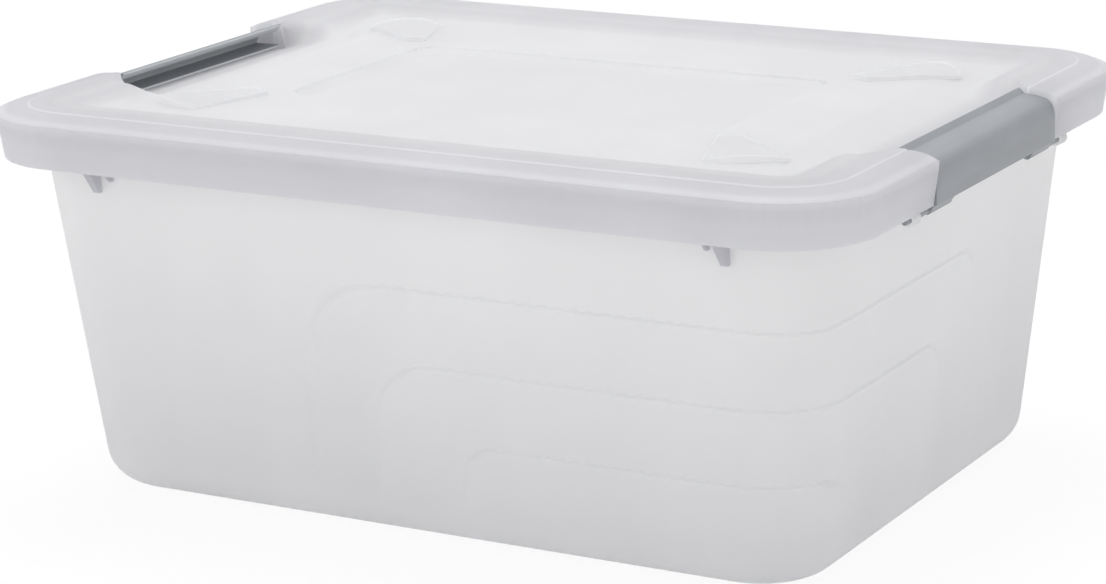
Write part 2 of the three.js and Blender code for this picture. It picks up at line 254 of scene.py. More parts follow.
def frosted_polypropylene(name, start, span, tones):
    """Natural polypropylene, injection moulded in a spark-eroded tool: a milky, almost colourless
    plastic that lets light through but blurs what is behind it, with a soft satin shine. Its tone
    is painted light and shade: tones, pairs of position and colour, run over the distance of a
    point beyond the box of half sizes start, in mm, and span is that distance at position 1. Faint
    clouds follow the melt's flow, and the grain of the tool breaks up the highlights."""
    material = bpy.data.materials.new(name)
    material.use_nodes = True
    tree = material.node_tree
    tree.nodes.clear()
    place = add(tree, "ShaderNodeTexCoord").outputs["Object"]
    beyond = add(tree, "ShaderNodeVectorMath", {0: place}, operation="ABSOLUTE")
    edge = [value * MM for value in start]
    beyond = add(
        tree, "ShaderNodeVectorMath", {0: beyond.outputs[0], 1: edge}, operation="SUBTRACT"
    )
    beyond = add(
        tree, "ShaderNodeVectorMath", {0: beyond.outputs[0], 1: (0, 0, 0)}, operation="MAXIMUM"
    )
    beyond = add(tree, "ShaderNodeVectorMath", {0: beyond.outputs[0]}, operation="LENGTH")
    share = add(
        tree,
        "ShaderNodeMath",
        {0: beyond.outputs["Value"], 1: span * MM},
        operation="DIVIDE",
    )
    flow = add(tree, "ShaderNodeMapping", {"Vector": place, "Scale": (1.0, 1.0, 0.35)})
    clouds = add(
        tree,
        "ShaderNodeTexNoise",
        {"Vector": flow.outputs["Vector"], "Scale": per_mm(55), "Detail": 3.0, "Roughness": 0.55},
    )
    # Painted light and shade: the ramp turns the distance into the painted tone, which the plastic's own
    # faint clouds then vary.
    painted_light_ramp = add(tree, "ShaderNodeValToRGB", {"Fac": share.outputs[0]})
    ramp = painted_light_ramp.color_ramp.elements
    for element, (position, tone) in zip(ramp, (tones[0], tones[-1])):
        element.position = position
        element.color = colour(tone)
    for position, tone in tones[1:-1]:
        ramp.new(position).color = colour(tone)
    cloud = add(
        tree,
        "ShaderNodeMapRange",
        {"Value": clouds.outputs["Fac"], "From Min": 0.3, "From Max": 0.7, "To Min": 0.975},
    )
    milk_and_painted_light = add(
        tree,
        "ShaderNodeVectorMath",
        {0: painted_light_ramp.outputs["Color"], "Scale": cloud.outputs["Result"]},
        operation="SCALE",
    )
    patches = add(
        tree, "ShaderNodeTexNoise", {"Vector": place, "Scale": per_mm(18), "Detail": 2.0}
    )
    sheen = add(
        tree,
        "ShaderNodeMapRange",
        {"Value": patches.outputs["Fac"], "To Min": 0.40, "To Max": 0.50},
    )
    # The real grain is about 0.05 mm; it is drawn at 0.6 mm, the finest that shows.
    grain = add(
        tree, "ShaderNodeTexNoise", {"Vector": place, "Scale": per_mm(0.6), "Detail": 1.0}
    )
    waves = add(
        tree, "ShaderNodeTexNoise", {"Vector": place, "Scale": per_mm(28), "Detail": 1.0}
    )
    fine = add(
        tree,
        "ShaderNodeBump",
        {"Height": grain.outputs["Fac"], "Strength": 0.25, "Distance": 0.02 * MM},
    )
    uneven = add(
        tree,
        "ShaderNodeBump",
        {
            "Height": waves.outputs["Fac"],
            "Strength": 0.5,
            "Distance": 0.35 * MM,
            "Normal": fine.outputs["Normal"],
        },
    )
    surface = add(
        tree,
        "ShaderNodeBsdfPrincipled",
        {
            "Base Color": milk_and_painted_light.outputs["Vector"],
            "Roughness": sheen.outputs["Result"],
            "Normal": uneven.outputs["Normal"],
            "IOR": 1.49,
        },
    )
    # Light that falls on one side of the milky wall leaves it on the other, spread all ways.
    through = add(
        tree,
        "ShaderNodeBsdfTranslucent",
        {"Color": milk_and_painted_light.outputs["Vector"], "Normal": uneven.outputs["Normal"]},
    )
    wall = add(tree, "ShaderNodeMixShader", {0: 0.65, 1: surface.outputs[0], 2: through.outputs[0]})
    add(tree, "ShaderNodeOutputMaterial", {"Surface": wall.outputs["Shader"]})
    return material


def grey_polypropylene():
    """Grey pigmented polypropylene, injection moulded: a satin surface that gives wide soft
    highlights, a fine tool grain and slightly uneven pigment. The sides that face inwards and
    downwards have a paler tint: painted light, standing in for light through the thin latch."""
    material = bpy.data.materials.new("grey_polypropylene")
    material.use_nodes = True
    tree = material.node_tree
    tree.nodes.clear()
    texture = add(tree, "ShaderNodeTexCoord")
    place = texture.outputs["Object"]
    along = add(tree, "ShaderNodeMapping", {"Vector": place, "Scale": (1.0, 0.25, 1.0)})
    pigment = add(
        tree,
        "ShaderNodeTexNoise",
        {"Vector": along.outputs["Vector"], "Scale": per_mm(9), "Detail": 3.0},
    )
    tint = add(tree, "ShaderNodeValToRGB", {"Fac": pigment.outputs["Fac"]})
    tint.color_ramp.elements[0].position = 0.3
    tint.color_ramp.elements[0].color = colour("898C91")
    tint.color_ramp.elements[1].position = 0.7
    tint.color_ramp.elements[1].color = colour("91959A")
    # Normal times place is below 0 on the sides that face the middle of the bin or downwards.
    facing = add(
        tree,
        "ShaderNodeVectorMath",
        {0: texture.outputs["Normal"], 1: place},
        operation="DOT_PRODUCT",
    )
    inner = add(
        tree,
        "ShaderNodeMapRange",
        {"Value": facing.outputs["Value"], "From Min": -0.05, "From Max": -0.13},
    )
    # Painted light: the sides that face inwards and downwards are mixed towards a pale grey.
    pale = add(
        tree,
        "ShaderNodeMix",
        {0: inner.outputs["Result"], 6: tint.outputs["Color"], 7: colour("D2D5D8")},
        data_type="RGBA",
    )
    # The real grain is about 0.1 mm; it is drawn at 0.5 mm, the finest that shows.
    grain = add(
        tree, "ShaderNodeTexNoise", {"Vector": place, "Scale": per_mm(0.5), "Detail": 1.0}
    )
    fine = add(
        tree,
        "ShaderNodeBump",
        {"Height": grain.outputs["Fac"], "Strength": 0.3, "Distance": 0.03 * MM},
    )
    sheen = add(
        tree,
        "ShaderNodeMapRange",
        {"Value": pigment.outputs["Fac"], "To Min": 0.36, "To Max": 0.46},
    )
    surface = add(
        tree,
        "ShaderNodeBsdfPrincipled",
        {
            "Base Color": pale.outputs[2],
            "Roughness": sheen.outputs["Result"],
            "Normal": fine.outputs["Normal"],
            "IOR": 1.49,
        },
    )
    add(tree, "ShaderNodeOutputMaterial", {"Surface": surface.outputs["BSDF"]})
    return material


# Painted shade on the tub: its walls are painted darker towards the foot and whiter towards the flange.
# This stands in for the light that comes through the lid and lights the upper walls from inside.
tub_plastic = frosted_polypropylene(
    "frosted_polypropylene_tub", (900, 900, 8), 150.0, [(0.0, "F1F1F2"), (1.0, "FDFDFD")]
)
# Painted shade: an even, greyer copy of the same plastic for the gussets, which show darker than the
# wall in the shade under the flange.
shaded_rib_plastic = frosted_polypropylene(
    "frosted_polypropylene_ribs_painted_shade", (900, 900, 8), 150.0, [(0.0, "E2E2E6"), (1.0, "E2E2E6")]
)
# The lid's distances start at the centres of its corners and end at its outer edge.
# Painted light and shade on the lid: the deck is palest, a painted shade line lies at the inner edge of
# the rim's crest, a painted highlight runs along the crease of the shoulder, the shoulder is painted
# greyer, and the rim's outer edge and the top of the skirt are painted darkest.
lid_painted_light_tones = [(0.0, "F5F5F6"), (0.1, "F0F0F1"), (0.2, "ECECEE"), (0.36, "F0F0F1")]
lid_painted_light_tones += [(0.65, "EFEFF1"), (0.662, "F9F9FA"), (0.676, "F9F9FA"), (0.69, "ECECEE")]
lid_painted_light_tones += [(0.88, "ECECEE"), (0.94, "F3F3F5"), (0.97, "F2F2F4"), (0.985, "EBEBED"), (1.0, "E1E1E4")]
lid_plastic = frosted_polypropylene(
    "frosted_polypropylene_lid", (LID_X - LID_CORNER, LID_Y - LID_CORNER, 900), LID_CORNER, lid_painted_light_tones
)
latch_plastic = grey_polypropylene()


# ---- lid --------------------------------------------------------------------------------------
def rim_inset(x, y):
    """How far a point lies in from the lid's outer edge. Contours run parallel to the edge, and
    once their corners are as tight as the rim's inner corner they shrink at that radius: then the
    inset t solves (u+t)^2 + (v+t)^2 = radius^2 for the point's offsets u, v from the corner's centre."""
    u = np.abs(x) - (LID_X - LID_CORNER)
    v = np.abs(y) - (LID_Y - LID_CORNER)
    reach = np.hypot(np.maximum(u, 0), np.maximum(v, 0))
    straight = np.maximum(u, v)
    radius = RIM_INNER_CORNER
    turned = (np.sqrt(np.maximum(2 * radius**2 - (u - v) ** 2, 0)) - (u + v)) / 2
    tight = np.where(np.abs(u - v) < radius, turned, radius - straight)
    outer = LID_CORNER - np.where(reach > 0, reach, straight)
    return np.where(reach >= radius, outer, LID_CORNER - radius + tight)


def rim_drop(inset):
    """Drop of the rim below its crest: a quarter ellipse from the outer edge up to the crease, a
    small step onto the flat crest, and a hyperbola that bends down into the inner slope."""
    share = np.clip(1 - inset / CREASE_AT, 0, 1)
    shoulder = (SHOULDER_DROP - CREASE_STEP) * (1 - np.sqrt(np.maximum(1 - share**2, 0)))
    step = CREASE_STEP * (1 - smooth(CREASE_AT, CREASE_AT + 1.0, inset))
    run = inset - (RIM_FOOT - 2 * DECK_DROP)
    fall = 0.25 * (run + np.sqrt(run**2 + 9.0))
    return shoulder + step + fall * smooth(18, 26, inset)


def scoop_depth(x, y):
    """Depth below the deck of the shallow scoop along a latch. It is the least of five planes, all
    0 on the scoop's outline and SCOOP_DEPTH at the ends of its deepest line."""
    x, y = np.abs(x), np.abs(y)
    deep_x, deep_y = SCOOP_DEEPEST
    (cut_x, cut_y), (inner_x, inner_y) = SCOOP_CUT
    run_x, run_y = inner_x - cut_x, inner_y - cut_y
    slant = run_x * (y - cut_y) - run_y * (x - cut_x)
    slant = slant / (run_x * (deep_y - cut_y) - run_y * (deep_x - cut_x))
    along = (x - ROOM_START) / (deep_x - ROOM_START)
    outer = (LID_X - RIM_FOOT + 1 - x) / (LID_X - RIM_FOOT + 1 - deep_x)
    end = (cut_y - y) / (cut_y - deep_y)
    share = np.minimum(np.minimum(along, outer), np.minimum(end, slant))
    return SCOOP_DEPTH * lower_of(np.clip(share, 0, None), 1.0, 0.05)


def room_depth(x):
    """Depth below the deck of the slope that runs down to the latch's seat."""
    return (SEAT_DROP - DECK_DROP) * np.clip((np.abs(x) - ROOM_START) / (ROOM_INNER - ROOM_START), 0, 1)


def deck_drop(x, y, notched):
    """Drop of the deck below the crest: flat, with the panel's sloped recess, the scoops, and in
    the notches the slope down to the latches' seats."""
    into = -box_distance(x, y, *PANEL)
    recess = PANEL_STEP * smooth(0, 0.35, into)
    recess += (PANEL_DEPTH - PANEL_STEP) * smooth(1.2, PANEL_SLOPE, into)
    recess += PANEL_GROOVE * np.exp(-(((into - 0.3) / 0.3) ** 2))
    scoop = scoop_depth(x, y)
    low = np.maximum(scoop, room_depth(x))
    return DECK_DROP + recess + scoop + (low - scoop) * notched


def lid_drop(x, y, notched):
    """Drop of the lid's top. In the notch for a latch the rim is left out; elsewhere the rim and
    the deck meet in a small fillet. notched runs from 0 outside to 1 in the notch. Inwards of the
    latch the notch's end is a slope, END_SLOPE wide, which steepens to a wall under the latch."""
    whole = lower_of(rim_drop(rim_inset(x, y)), deck_drop(x, y, 0.0), 0.8)
    width = np.interp(np.abs(x), (ROOM_INNER - 10, ROOM_INNER + 1), (END_SLOPE, 0.01))
    slope = 1 - smooth(0, 1, (np.abs(y) - NOTCH_HALF + 0.05) / width)
    return whole + (deck_drop(x, y, 1.0) - whole) * np.maximum(notched, slope)


# Places of the mesh lines. Near a notch's end they lie close together: there notched, how much of
# the notch's shape a line takes, drops from 1 to 0 over a rounded edge.
core_x, core_y = LID_X - LID_CORNER, LID_Y - LID_CORNER
half_xs = spaced(0, (90, 10), (103.4, 0.8), (104.2, 0.2), (110, 1.4), (141.6, 3.2), (143.4, 0.6))
half_xs = np.concatenate([half_xs, spaced(143.4, (core_x, 1.8))[1:]])
edge_offsets = np.array([0.0, 0.0, 0.2, 0.6, 1.3])
edge_weights = np.array([1.0, 0.06, 0.025, 0.006, 0.0])
half_ys = np.concatenate(
    [
        spaced(0, (45, 8), (58.4, 0.8), (59.2, 0.2), (NOTCH_HALF - 0.8, 1.2)),
        NOTCH_HALF + edge_offsets,
        spaced(NOTCH_HALF + 2.3, (106, 1.8), (core_y, 2.6)),
    ]
)
half_notched = np.concatenate(
    [
        np.ones(int(np.sum(half_ys < NOTCH_HALF - 0.1))),
        edge_weights,
        np.zeros(int(np.sum(half_ys > NOTCH_HALF + 2))),
    ]
)
lid_xs, lid_ys = both_ways(half_xs), both_ways(half_ys)
y_notched = np.concatenate([half_notched[:0:-1], half_notched])


def under_y(y):
    """Moves a mesh line of the top to its place on the underside, where the notch is wider by the
    thickness of its end walls."""
    a = np.abs(y)
    edge = NOTCH_HALF + WALL
    inner = a * edge / NOTCH_HALF
    outer = edge + (a - NOTCH_HALF) * (core_y - edge) / (core_y - NOTCH_HALF)
    return np.sign(y) * np.where(a <= NOTCH_HALF, inner, outer)


def lid_surface():
    """The lid as one closed shell: a grid over the deck, its copy for the underside, and a grid
    carried round the edge, over the rim, down the skirt and back up inside."""
    arc_steps = 12
    core, out = round_columns(lid_xs, lid_ys, arc_steps)
    share = np.zeros(len(core))
    count = len(lid_ys)
    left = count + len(lid_xs) + 2 * (arc_steps - 1)
    share[:count] = y_notched
    share[left : left + count] = y_notched[::-1]

    def at(points, reach, drop):
        xy = points[None] + out[None] * reach[..., None]
        return np.concatenate([xy, (CREST - drop)[..., None]], -1)

    # over the rim
    insets = spaced(LID_CORNER, (31, 0.9), (17, 2.6), (14.8, 0.8), (12.6, 0.3), (8, 1.3))
    edge = np.array([6.6, 5.2, 4.0, 3.0, 2.1, 1.4, 0.8, 0.35, 0.08, 0.0])
    insets = np.concatenate([insets, edge])
    reach = np.tile((LID_CORNER - insets)[:, None], (1, len(core)))
    xy = core[None] + out[None] * reach[..., None]
    drop = lid_drop(xy[..., 0], xy[..., 1], 0.0)
    # down the skirt to its rounded foot
    depth = CREST - SKIRT_FOOT
    skirt_drop = np.array([6.6, 9.5, 13.0, 17.0, 20.5, depth - 0.5, depth - 0.15, depth])
    skirt_in = SKIRT_INSET * (skirt_drop - SHOULDER_DROP) / (depth - SHOULDER_DROP)
    skirt_in = skirt_in + np.array([0, 0, 0, 0, 0, 0, 0.12, 0.5])
    # inside the skirt, from the foot up
    inner_drop = np.array([depth, depth - 0.15, depth - 0.5, 20.5, 17.0, 13.0, 9.5, 7.4, 6.3])
    inner_in = SKIRT_INSET * (inner_drop - SHOULDER_DROP) / (depth - SHOULDER_DROP) + WALL
    inner_in = inner_in + np.array([-0.5, -0.12, 0, 0, 0, 0, 0, 0, 0.25])
    # under the rim, with the rib that rests on the flange and the rib that plugs the mouth
    seat_rib, seat_foot = WALL_INSET - 4.0, CREST - FLANGE_TOP - 0.3
    plug_rib, plug_foot = WALL_INSET + 2.9, CREST - FLANGE_TOP + 4.0
    under = [(3.0, 0), (4.2, 0), (6.5, 0), (10, 0), (seat_rib - 0.1, 0)]
    for rib, foot in ((seat_rib, seat_foot), (plug_rib, plug_foot)):
        under += [(rib, foot - 0.2), (rib + 0.2, foot), (rib + 1.3, foot), (rib + 1.5, foot - 0.2)]
        under += [(rib + 1.6, 0), (rib + 4.5, 0)]
    under += [(i, 0) for i in (31, 33, 35, 37, 39, 40.5, LID_CORNER)]
    under_in, under_foot = np.array(under).T

    def rows(inset, fixed_drop):
        reach = np.tile((LID_CORNER - inset)[:, None], (1, len(core)))
        return reach, np.tile(fixed_drop[:, None], (1, len(core)))

    skirt = rows(skirt_in, skirt_drop)
    inner = rows(inner_in, inner_drop)
    below_reach, foot = rows(under_in, under_foot)
    below_core = np.stack([core[:, 0], under_y(core[:, 1])], 1)
    below = below_core[None] + out[None] * below_reach[..., None]
    roof = lid_drop(below[..., 0], below[..., 1], 0.0) + WALL
    below_drop = np.maximum(roof, foot)

    # the same rows in a notch: the seat, and the seat's own short skirt
    seat_top = np.array([SEAT_EDGE, SEAT_DROP])
    seat_foot_point = np.array([SEAT_SKIRT, CREST - LIP_FOOT])

    def seat_rows(reach, free, lift):
        """Places and drops of the rows on the slope down to the seat, and which rows lie beyond
        the seat's edge, to be spread along its skirt."""
        x = core_x + reach[:, 0]
        flat = np.minimum(x, SEAT_EDGE - lift * 0.7)
        level = deck_drop(flat, 0.0, 1.0) + lift
        beyond = x > SEAT_EDGE - lift * 0.7
        steps = np.flatnonzero(beyond | free)
        return flat, level, steps

    top_reach = np.concatenate([reach, skirt[0]])
    top_drop = np.concatenate([drop, skirt[1]])
    low_reach = np.concatenate([inner[0], below_reach])
    low_drop = np.concatenate([inner[1], below_drop])
    free_top = np.arange(len(top_reach)) >= len(reach)
    free_low = np.arange(len(low_reach)) < len(inner[0])

    flat, level, steps = seat_rows(top_reach, free_top, 0.0)
    walk = np.linspace(0, 1, len(steps)) ** 1.15
    flat[steps] = seat_top[0] + (seat_foot_point[0] - seat_top[0]) * walk
    level[steps] = seat_top[1] + (seat_foot_point[1] - seat_top[1]) * walk
    level[steps] += 0.35 * np.exp(-walk * 9) - 0.35 * np.exp(-9.0)
    seat_reach_top, seat_drop_top = flat - core_x, level

    flat, level, steps = seat_rows(low_reach, free_low, WALL)
    walk = np.linspace(1, 0, len(steps))
    inner_run = seat_foot_point[0] - seat_top[0] - WALL * 0.3
    flat[steps] = seat_top[0] - WALL * 0.7 + inner_run * walk
    level[steps] = seat_top[1] + WALL + (seat_foot_point[1] - seat_top[1] - WALL) * walk
    seat_reach_low = flat - core_x
    seat_drop_low = np.maximum(level, np.concatenate([np.zeros(len(inner[0])), under_foot]))

    top_reach = top_reach + (seat_reach_top[:, None] - top_reach) * share
    top_drop = top_drop + (seat_drop_top[:, None] - top_drop) * share
    low_reach = low_reach + (seat_reach_low[:, None] - low_reach) * (share > 0.5)
    low_drop = low_drop + (seat_drop_low[:, None] - low_drop) * (share > 0.5)
    ring = np.concatenate([at(core, top_reach, top_drop), at(below_core, low_reach, low_drop)])

    # the deck and its underside
    gx, gy = np.meshgrid(lid_xs, lid_ys, indexing="ij")
    notched = np.tile(y_notched, (len(lid_xs), 1))
    deck = np.stack([gx, gy, CREST - lid_drop(gx, gy, notched)], -1)
    wy = under_y(gy)
    ceiling = np.stack([gx, wy, CREST - WALL - lid_drop(gx, wy, notched > 0.5)], -1)
    return [(deck, False), (ring, True), (ceiling, False)]


make_piece("lid_shell", lid_surface(), "lid", lid_plastic, "lid")


BOSS_CORNERS = ((108.8, 65.5), (117.2, 62.0), (151.2, 86.5), (120.6, 103.4))
BOSS_MIDDLE = (130.0, 82.0)
BOSS_ARC = 29.0  # radius of the side towards the lid's corner, between the last two corners
BOSS_SUNK = 0.5  # how far a boss runs down into the deck
BOSS_EDGE = 0.55  # height of the raised edge above the rest of the top


def boss_surface():
    """A corner boss: its outline has straight inner edges and an arc towards the lid's corner.
    The height is 1.1 mm at the inner edges and rises towards the arc, where it follows
    0.4 + 2.8 (1 - m^2) over the arc's length m, so that the side seen there is a lens. Rows run up
    the side, over a narrow raised edge, and shrink to a point in the middle."""
    a, b, c, d = np.array(BOSS_CORNERS)
    half = np.linalg.norm(d - c) / 2
    aim = np.array([c[1] - d[1], d[0] - c[0]]) / (-2 * half)
    centre = (c + d) / 2 - aim * math.sqrt(BOSS_ARC**2 - half**2)
    spread = math.asin(half / BOSS_ARC)
    angle = math.atan2(aim[1], aim[0]) + np.linspace(-spread, spread, 34)
    arc = centre + BOSS_ARC * np.stack([np.cos(angle), np.sin(angle)], 1)
    t = np.linspace(0, 1, 24)[1:, None]
    sides = [arc[-1] + (a - arc[-1]) * t, a + (b - a) * t[::3], b + (arc[0] - b) * t[:-1]]
    outline = np.concatenate([arc] + sides)
    middle = np.array(BOSS_MIDDLE)

    def height(xy):
        m = ((xy - (c + d) / 2) @ (d - c)) / (2 * half**2)
        into = BOSS_ARC - np.linalg.norm(xy - centre, axis=1)
        near = np.clip(1 - into / 38, 0, 1)
        return 1.1 + (2.8 * np.clip(1 - m**2, 0, 1) - 0.7) * near

    rows = []
    for inset, rise in ((-0.3, None), (-0.3, 0.0), (0.0, 0.7), (0.1, 0.92), (0.45, 1.0)):
        away = outline - middle
        far = np.linalg.norm(away, axis=1, keepdims=True)
        xy = middle + away * (1 - inset / far)
        z = np.full(len(xy), -BOSS_SUNK) if rise is None else height(outline) * rise
        rows.append(np.column_stack([xy, z]))
    for share in (0.975, 0.96, 0.94, 0.85, 0.6, 0.3, 0.0):
        xy = middle + (outline - middle) * share
        rows.append(np.column_stack([xy, height(xy) - (0.0 if share > 0.96 else BOSS_EDGE)]))
    bottom = np.column_stack([np.tile(middle, (len(outline), 1)), np.full(len(outline), -BOSS_SUNK)])
    return np.stack([bottom] + rows) + np.array([0, 0, CREST - DECK_DROP])


boss = boss_surface()
bosses = [(boss * np.array([i, j, 1]), True) for i in (1, -1) for j in (1, -1)]
make_piece("corner_bosses", bosses, "lid", lid_plastic, None, 30.0)


# ---- body of the bin --------------------------------------------------------------------------
def wall_half(z):
    """Half sizes and corner radius of the outer wall at height z, which leans out as it rises."""
    fall = 1 - z / FLANGE_TOP
    top_corner = LID_CORNER - WALL_INSET
    half_x = LID_X - WALL_INSET - WALL_LEAN[0] * fall
    half_y = LID_Y - WALL_INSET - WALL_LEAN[1] * fall
    return half_x, half_y, top_corner + (BASE_CORNER - top_corner) * fall


ARCH_STEP = 0.8
ARCH_GROOVE = 0.5
ARCHES = (  # end on the front, top, end on the side, corner radii at both ends
    (-48.0, 110.0, 29.0, 38.0, 16.0),
    (-17.0, 77.5, -4.0, 33.0, 16.0),
    (24.0, 45.5, -100.0, 20.0, 14.0),
)


def arch_relief(x, y, z):
    """How far the wall stands out for the stepped arches that wrap the front right corner: one
    more step inside each arch, with a fine groove along its outside. An arch is a rounded box in
    the unrolled wall, where the run counts from the middle of the corner, negative along the front
    and positive along the side. Its top edge is crisp and its legs are soft."""
    half_x, half_y, radius = wall_half(100.0)
    bend = radius * math.pi / 2
    near_x, near_y = half_x - radius, half_y - radius
    on_front = (y < -near_y) & (x < near_x)
    on_side = (x > near_x) & (y > -near_y)
    around = np.arctan2(np.maximum(x - near_x, 0), np.maximum(-y - near_y, 1e-6)) / (math.pi / 2)
    run = np.where(on_front, x - near_x - bend / 2, bend * (around - 0.5))
    run = np.where(on_side, bend / 2 + y + near_y, run)
    run = np.where((x > near_x) | (y < -near_y), run, 1e3)
    raised = 0.0
    for front_end, top, side_end, front_corner, side_corner in ARCHES:
        low, high = front_end - near_x - bend / 2, side_end + near_y + bend / 2
        middle = (low + high) / 2
        corner = np.where(run < middle, front_corner, side_corner)
        u = np.abs(run - middle) - (high - low) / 2 + corner
        v = z - top + corner
        reach = np.hypot(np.maximum(u, 0), np.maximum(v, 0))
        away = reach + np.minimum(np.maximum(u, v), 0) - corner
        sideways = np.clip(u, 0, None) / np.maximum(reach, 1e-6)
        turned = smooth(0.05, 0.5, sideways)
        width = 0.35 + 0.65 * turned
        step = ARCH_STEP * smooth(width, -width, away)
        depth = ARCH_GROOVE * (1 + 1.2 * turned) * (1 - 0.7 * sideways**6)
        groove = depth * np.exp(-((away / width - 1.5) ** 2))
        raised = raised + step - groove
    return raised * smooth(10, 26, z)


def body_surface():
    """The tub as one closed shell carried round its outline: from the middle of the underside over
    the foot ring, up the wall, round the flange and back down inside to the floor."""
    xs = both_ways(spaced(0, (52, 1.15), (120, 7.5), (150, 6)))
    ys = both_ways(spaced(0, (33, 1.15), (80, 6.5), (105, 5)))
    core, out = round_columns(xs, ys, 14)
    width, height = FOOT_RING
    floor = height + WALL

    def fillet(radius, base, grow, count):
        """A quarter circle from the flat to the wall."""
        angle = np.linspace(0, math.pi / 2, count)
        return [
            (base + radius * (1 - math.cos(a)), grow - radius * (1 - math.sin(a))) for a in angle
        ]

    grow_foot = -BOTTOM_FILLET
    under = FLANGE_TOP - WALL
    lip_out = FLANGE_REACH + LIP_LEAN
    foot = [(height, grow_foot - width), (0.5, grow_foot - width), (0.12, grow_foot - width + 0.15)]
    foot += [(0.0, grow_foot - width + 0.5)]
    outside = fillet(BOTTOM_FILLET, 0.0, 0.0, 9)
    fine = [stop for _, top, *_ in ARCHES[::-1] for stop in ((top - 4, 1.25), (top + 1.6, 0.25))]
    rise = spaced(BOTTOM_FILLET + 2, (36, 4), *fine, (151, 6))
    outside += [(z, 0.0) for z in rise]
    flange = [(under - 1.5, 0.0), (under - 0.8, 0.15), (under - 0.3, 0.55), (under, 1.5)]
    flange += [(under, FLANGE_REACH - WALL - 0.8), (under - 0.4, FLANGE_REACH - WALL)]
    flange += [(LIP_FOOT + 0.5, lip_out - WALL - 0.2), (LIP_FOOT, lip_out - WALL + 0.4)]
    flange += [(LIP_FOOT, lip_out - 0.4), (LIP_FOOT + 0.4, lip_out - 0.15)]
    flange += [(FLANGE_TOP - 0.7, FLANGE_REACH + 0.3), (FLANGE_TOP - 0.2, FLANGE_REACH)]
    flange += [(FLANGE_TOP, FLANGE_REACH - 0.6), (FLANGE_TOP, 0.6 - WALL), (FLANGE_TOP - 0.6, -WALL)]
    inside = [(z, -WALL) for z in np.linspace(150, floor + 16, 12)]
    inside += fillet(BOTTOM_FILLET - WALL, floor, -WALL, 8)[::-1]
    z, grow = np.array(foot + outside + flange + inside).T
    walled = np.zeros(len(z))
    walled[len(foot) : len(foot) + len(outside)] = 1.0

    # foot levels keep the outline of the foot; all others take the wall's outline at their height
    level = np.where(np.arange(len(z)) < len(foot), 0.0, np.clip(z, 0, FLANGE_TOP))
    level = np.where((np.arange(len(z)) >= len(foot + outside)) & (z > LIP_FOOT - 1), FLANGE_TOP, level)
    half_x, half_y, radius = (v[:, None] for v in wall_half(level))
    radius = radius + grow[:, None]
    reach_x, reach_y = half_x + grow[:, None] - radius, half_y + grow[:, None] - radius

    def stretched(place, reach, kept):
        """Lines within kept stay where they are; beyond it they spread to the corner."""
        a = np.abs(place)
        spread = kept + (a - kept) * (reach - kept) / (np.max(a) - kept)
        return np.sign(place) * np.where(a <= kept, a, spread)

    x = stretched(core[None, :, 0], reach_x, 120.0) + out[:, 0] * radius
    y = stretched(core[None, :, 1], reach_y, 80.0) + out[:, 1] * radius
    stands = (arch_relief(x, y, z[:, None]) + arch_relief(-x, -y, z[:, None])) * walled[:, None]
    x, y = x + out[:, 0] * stands, y + out[:, 1] * stands
    rings = np.stack([x, y, np.tile(z[:, None], (1, x.shape[1]))], -1)
    first = np.zeros((1, x.shape[1], 3)) + np.array([0, 0, height])
    last = np.zeros((1, x.shape[1], 3)) + np.array([0, 0, floor])
    return [(np.concatenate([first, rings, last]), True)]


make_piece("bin_shell", body_surface(), "body", tub_plastic, "bin_body", 55.0)


def solid_prism(name, outlines, body, material, bevel):
    """A piece made of closed outlines, each carried across a stretch: (outline in two axes, axis
    of the stretch, low, high). The ends are faces of the whole outline, and edges are rounded."""
    mesh = bpy.data.meshes.new(name)
    shape = bmesh.new()
    for outline, axis, low, high in outlines:
        others = [a for a in range(3) if a != axis]
        ends = []
        for across in (low, high):
            loop = []
            for pair in outline:
                point = [0.0, 0.0, 0.0]
                point[others[0]], point[others[1]] = pair
                point[axis] = across
                loop.append(shape.verts.new(np.array(point) * MM))
            ends.append(loop)
        count = len(outline)
        for i in range(count):
            j = (i + 1) % count
            shape.faces.new((ends[0][i], ends[0][j], ends[1][j], ends[1][i]))
        shape.faces.new(ends[0][::-1])
        shape.faces.new(ends[1])
    face_outwards(shape)
    shape.to_mesh(mesh)
    shape.free()
    mesh.shade_smooth()
    mesh.set_sharp_from_angle(angle=math.radians(35))
    mesh.materials.append(material)
    piece = bpy.data.objects.new(name, mesh)
    bpy.context.scene.collection.objects.link(piece)
    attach(piece, body)
    rounding = piece.modifiers.new("moulded_edges", "BEVEL")
    rounding.width = bevel * MM
    rounding.segments = 2
    rounding.limit_method = "ANGLE"
    rounding.angle_limit = math.radians(40)


def gussets():
    """Triangular plates under the flange, two on each long side, each with a short rib beside it."""
    plates = []
    for depth, reach, low, high in ((20.0, 0.4, 146.2, 149.8), (14.5, 2.5, 139.6, 141.4)):
        foot = FLANGE_TOP - depth
        top_y, low_y = wall_half(FLANGE_TOP)[1], wall_half(foot)[1]
        out = top_y + FLANGE_REACH - reach
        outline = [(top_y - 1, FLANGE_TOP - 1.2), (out, FLANGE_TOP - 1.2), (out, LIP_FOOT)]
        outline += [(low_y + 1.8, foot), (low_y - 1, foot)]
        for side in (1, -1):
            turned = [(side * y, z) for y, z in outline]
            plates += [(turned, 0, low, high), (turned, 0, -high, -low)]
    # The gussets take the greyer copy of the plastic, painted shade.
    solid_prism("flange_gussets", plates, "body", shaded_rib_plastic, 0.5)


